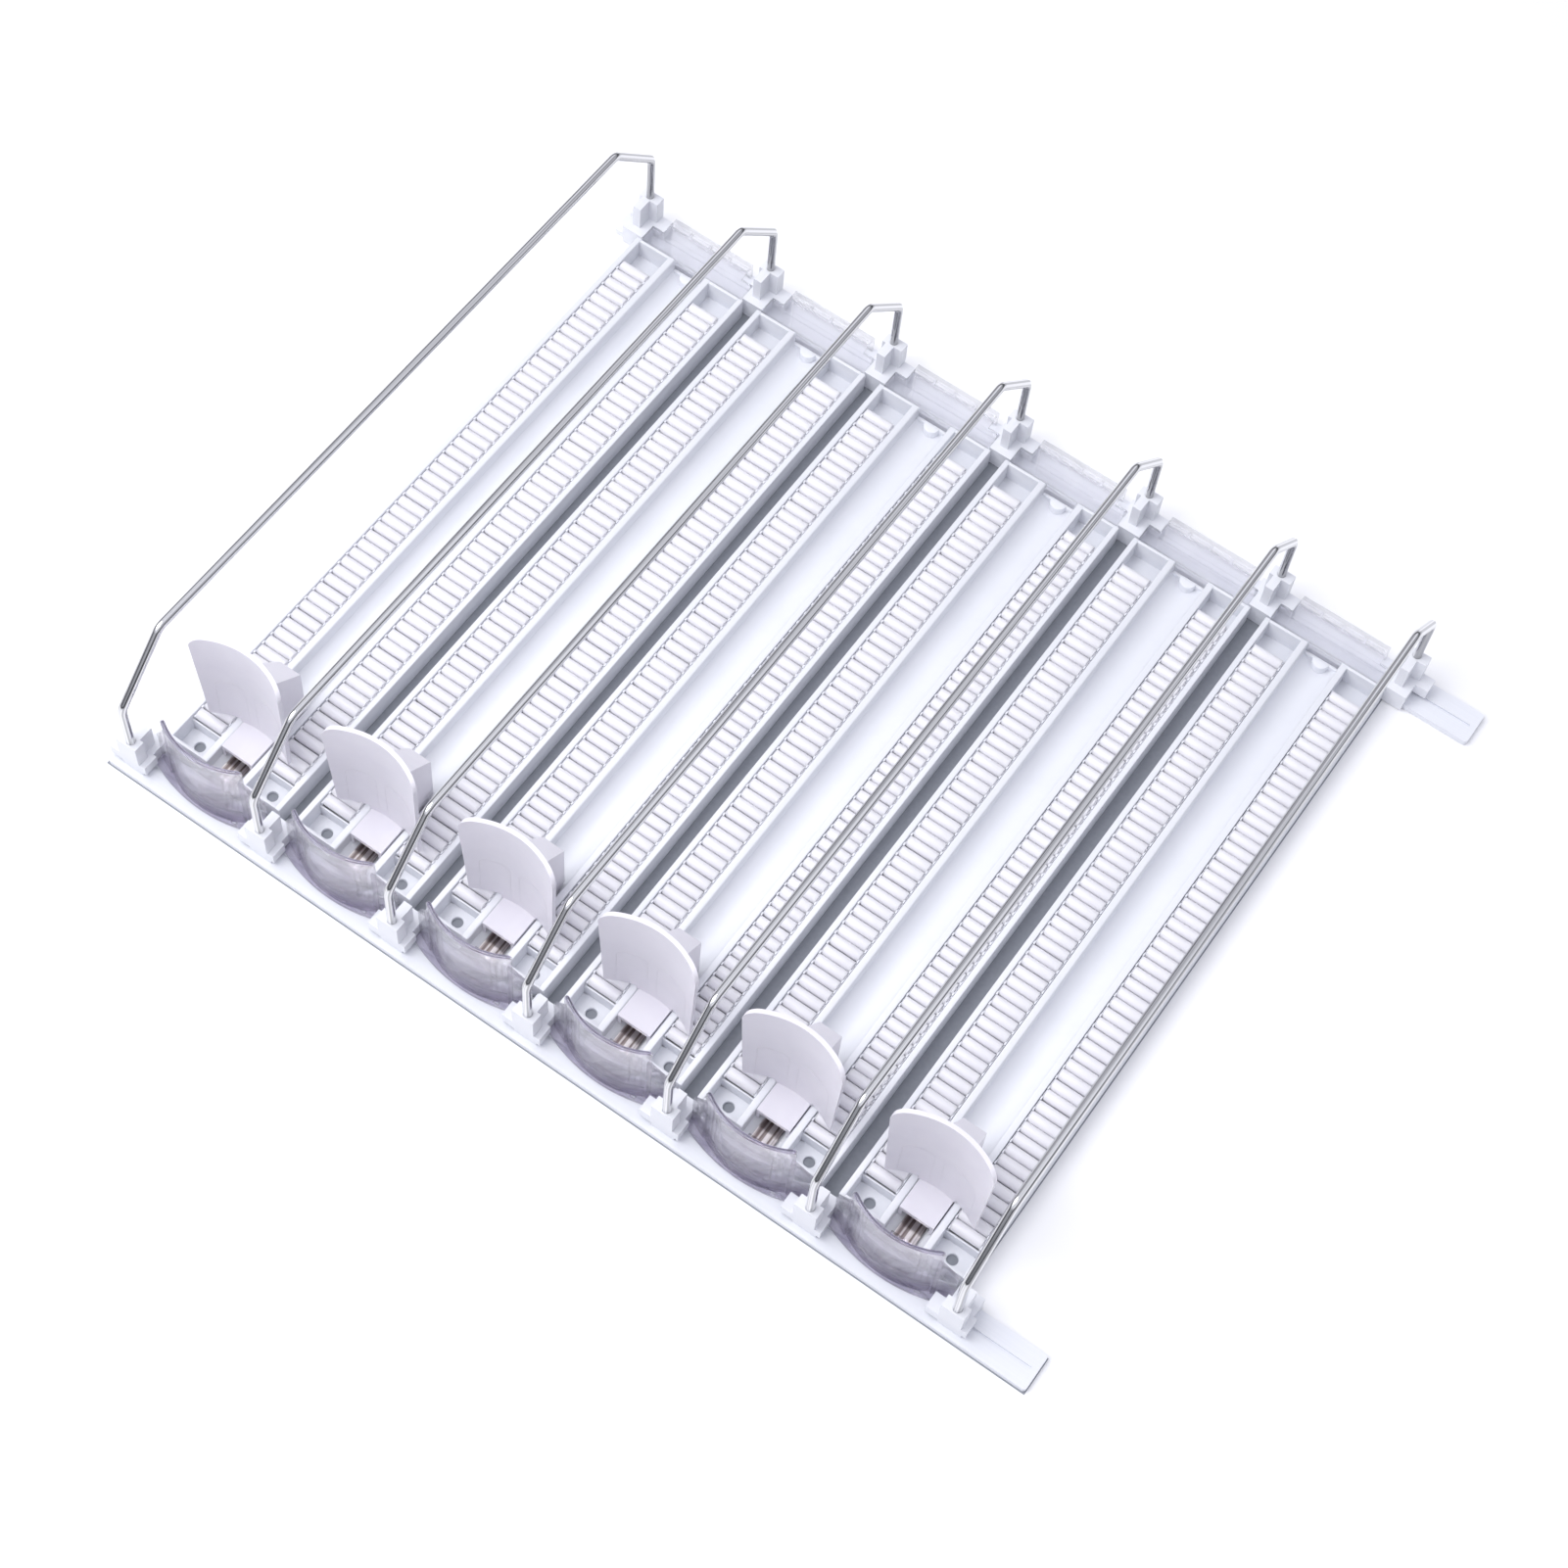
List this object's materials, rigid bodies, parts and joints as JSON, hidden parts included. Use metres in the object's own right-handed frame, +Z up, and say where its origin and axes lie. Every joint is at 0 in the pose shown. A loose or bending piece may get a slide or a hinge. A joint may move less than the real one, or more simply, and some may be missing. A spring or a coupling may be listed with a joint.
{
  "type": "fridge can organizer",
  "caption": "Roller shelf for cans: wire dividers on two rails, roller trays between them, clear front stops and spring-fed pushers.",
  "frame": {"origin": "middle of the underside, on the surface that the rails and trays rest on", "axes": "+X along the rails to the end with free rail, +Y from the front stops to the rear rail, +Z up"},
  "size_m": [0.47, 0.381, 0.081],
  "materials": {
    "white_plastic": "moulded, slightly glossy",
    "clear_plastic": "clear, polished",
    "steel_wire": "drawn and plated, bright",
    "spring_steel": "rolled strip, bright"
  },
  "bodies": {
    "frame": {"front_rail": "white_plastic", "rear_rail": "white_plastic", "wire_1": "steel_wire", "front_seat_1": "white_plastic", "rear_seat_1": "white_plastic"},
    "lane_1": {"tray_1": "white_plastic", "front_stop_1": "clear_plastic", "rear_connector_1": "clear_plastic"},
    "slider_1": {"pusher_1": "white_plastic", "spring_1": "spring_steel"},
    "lane_2": {"tray_2": "white_plastic", "front_stop_2": "clear_plastic", "rear_connector_2": "clear_plastic"},
    "slider_2": {"pusher_2": "white_plastic", "spring_2": "spring_steel"},
    "lane_3": {"tray_3": "white_plastic", "front_stop_3": "clear_plastic", "rear_connector_3": "clear_plastic"},
    "slider_3": {"pusher_3": "white_plastic", "spring_3": "spring_steel"},
    "lane_4": {"tray_4": "white_plastic", "front_stop_4": "clear_plastic", "rear_connector_4": "clear_plastic"},
    "slider_4": {"pusher_4": "white_plastic", "spring_4": "spring_steel"},
    "lane_5": {"tray_5": "white_plastic", "front_stop_5": "clear_plastic", "rear_connector_5": "clear_plastic"},
    "slider_5": {"pusher_5": "white_plastic", "spring_5": "spring_steel"},
    "lane_6": {"tray_6": "white_plastic", "front_stop_6": "clear_plastic", "rear_connector_6": "clear_plastic"},
    "slider_6": {"pusher_6": "white_plastic", "spring_6": "spring_steel"},
    "divider_2": {"wire_2": "steel_wire", "front_seat_2": "white_plastic", "rear_seat_2": "white_plastic"},
    "divider_3": {"wire_3": "steel_wire", "front_seat_3": "white_plastic", "rear_seat_3": "white_plastic"},
    "divider_4": {"wire_4": "steel_wire", "front_seat_4": "white_plastic", "rear_seat_4": "white_plastic"},
    "divider_5": {"wire_5": "steel_wire", "front_seat_5": "white_plastic", "rear_seat_5": "white_plastic"},
    "divider_6": {"wire_6": "steel_wire", "front_seat_6": "white_plastic", "rear_seat_6": "white_plastic"},
    "divider_7": {"wire_7": "steel_wire", "front_seat_7": "white_plastic", "rear_seat_7": "white_plastic"}
  },
  "joints": [
    {"name": "lane_1_slide", "type": "slide", "parent": "frame", "child": "lane_1", "axis": [1, 0, 0], "range_m": [0, 0.0024]},
    {"name": "divider_2_slide", "type": "slide", "parent": "lane_1", "child": "divider_2", "axis": [1, 0, 0], "range_m": [0, 0.0024]},
    {"name": "pusher_1_slide", "type": "slide", "parent": "lane_1", "child": "slider_1", "axis": [0, 1, 0], "range_m": [0, 0.279], "stiffness_N_per_m": 1, "springref_m": -2.5, "deforming": ["spring_1"]},
    {"name": "lane_2_slide", "type": "slide", "parent": "divider_2", "child": "lane_2", "axis": [1, 0, 0], "range_m": [0, 0.0024]},
    {"name": "divider_3_slide", "type": "slide", "parent": "lane_2", "child": "divider_3", "axis": [1, 0, 0], "range_m": [0, 0.0024]},
    {"name": "pusher_2_slide", "type": "slide", "parent": "lane_2", "child": "slider_2", "axis": [0, 1, 0], "range_m": [0, 0.279], "stiffness_N_per_m": 1, "springref_m": -2.5, "deforming": ["spring_2"]},
    {"name": "lane_3_slide", "type": "slide", "parent": "divider_3", "child": "lane_3", "axis": [1, 0, 0], "range_m": [0, 0.0024]},
    {"name": "divider_4_slide", "type": "slide", "parent": "lane_3", "child": "divider_4", "axis": [1, 0, 0], "range_m": [0, 0.0024]},
    {"name": "pusher_3_slide", "type": "slide", "parent": "lane_3", "child": "slider_3", "axis": [0, 1, 0], "range_m": [0, 0.279], "stiffness_N_per_m": 1, "springref_m": -2.5, "deforming": ["spring_3"]},
    {"name": "lane_4_slide", "type": "slide", "parent": "divider_4", "child": "lane_4", "axis": [1, 0, 0], "range_m": [0, 0.0024]},
    {"name": "divider_5_slide", "type": "slide", "parent": "lane_4", "child": "divider_5", "axis": [1, 0, 0], "range_m": [0, 0.0024]},
    {"name": "pusher_4_slide", "type": "slide", "parent": "lane_4", "child": "slider_4", "axis": [0, 1, 0], "range_m": [0, 0.279], "stiffness_N_per_m": 1, "springref_m": -2.5, "deforming": ["spring_4"]},
    {"name": "lane_5_slide", "type": "slide", "parent": "divider_5", "child": "lane_5", "axis": [1, 0, 0], "range_m": [0, 0.0024]},
    {"name": "divider_6_slide", "type": "slide", "parent": "lane_5", "child": "divider_6", "axis": [1, 0, 0], "range_m": [0, 0.0024]},
    {"name": "pusher_5_slide", "type": "slide", "parent": "lane_5", "child": "slider_5", "axis": [0, 1, 0], "range_m": [0, 0.279], "stiffness_N_per_m": 1, "springref_m": -2.5, "deforming": ["spring_5"]},
    {"name": "lane_6_slide", "type": "slide", "parent": "divider_6", "child": "lane_6", "axis": [1, 0, 0], "range_m": [0, 0.0024]},
    {"name": "divider_7_slide", "type": "slide", "parent": "lane_6", "child": "divider_7", "axis": [1, 0, 0], "range_m": [0, 0.0024]},
    {"name": "pusher_6_slide", "type": "slide", "parent": "lane_6", "child": "slider_6", "axis": [0, 1, 0], "range_m": [0, 0.279], "stiffness_N_per_m": 1, "springref_m": -2.5, "deforming": ["spring_6"]}
  ]
}
